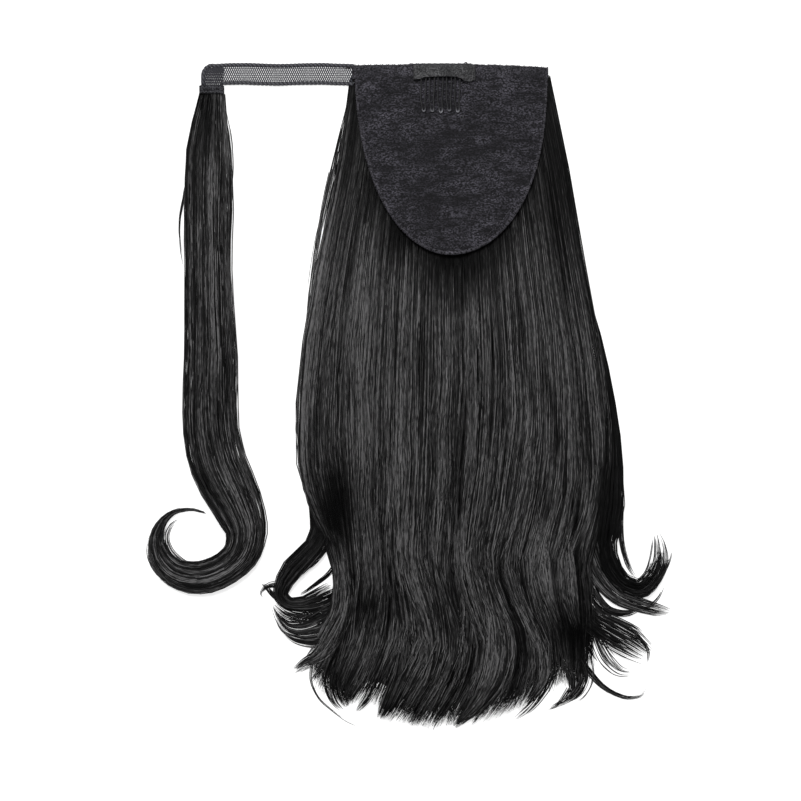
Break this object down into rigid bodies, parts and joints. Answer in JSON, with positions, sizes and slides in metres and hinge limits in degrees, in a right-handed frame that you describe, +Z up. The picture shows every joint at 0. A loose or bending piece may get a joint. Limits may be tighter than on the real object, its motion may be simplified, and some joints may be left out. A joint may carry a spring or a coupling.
{
  "type": "ponytail hairpiece",
  "caption": "Long black wrap-around ponytail hairpiece lying inner side up: fabric cap with a wire comb, netted wrap strap with a curled strand, and a full fall with curled ends.",
  "frame": {"origin": "on the flat underside of the fall, straight below the middle of the cap's top band", "axes": "+Z up from the surface that it lies on, +Y along the fall from its curled ends to the cap's top band, +X across the cap away from the wrap strap"},
  "size_m": [0.3352, 0.4304, 0.0189],
  "materials": {
    "black_fibre": "silky synthetic hair with soft highlights",
    "crinkled_fabric": "matt crinkled stretch fabric",
    "woven_tape": "matt woven tape",
    "strap_elastic": "matt netted elastic with overlocked edges",
    "black_wire": "satin black coated wire"
  },
  "bodies": {
    "root": {"ponytail_hair": "black_fibre", "wrap_strand": "black_fibre", "cap_panel": "crinkled_fabric", "cap_edge_binding": "crinkled_fabric", "cap_top_band": "crinkled_fabric", "comb": "black_wire", "comb_cover": "woven_tape", "strap_net": "strap_elastic", "strap_upper_edge": "strap_elastic", "strap_lower_edge": "strap_elastic", "strand_weft": "strap_elastic"}
  },
  "joints": []
}
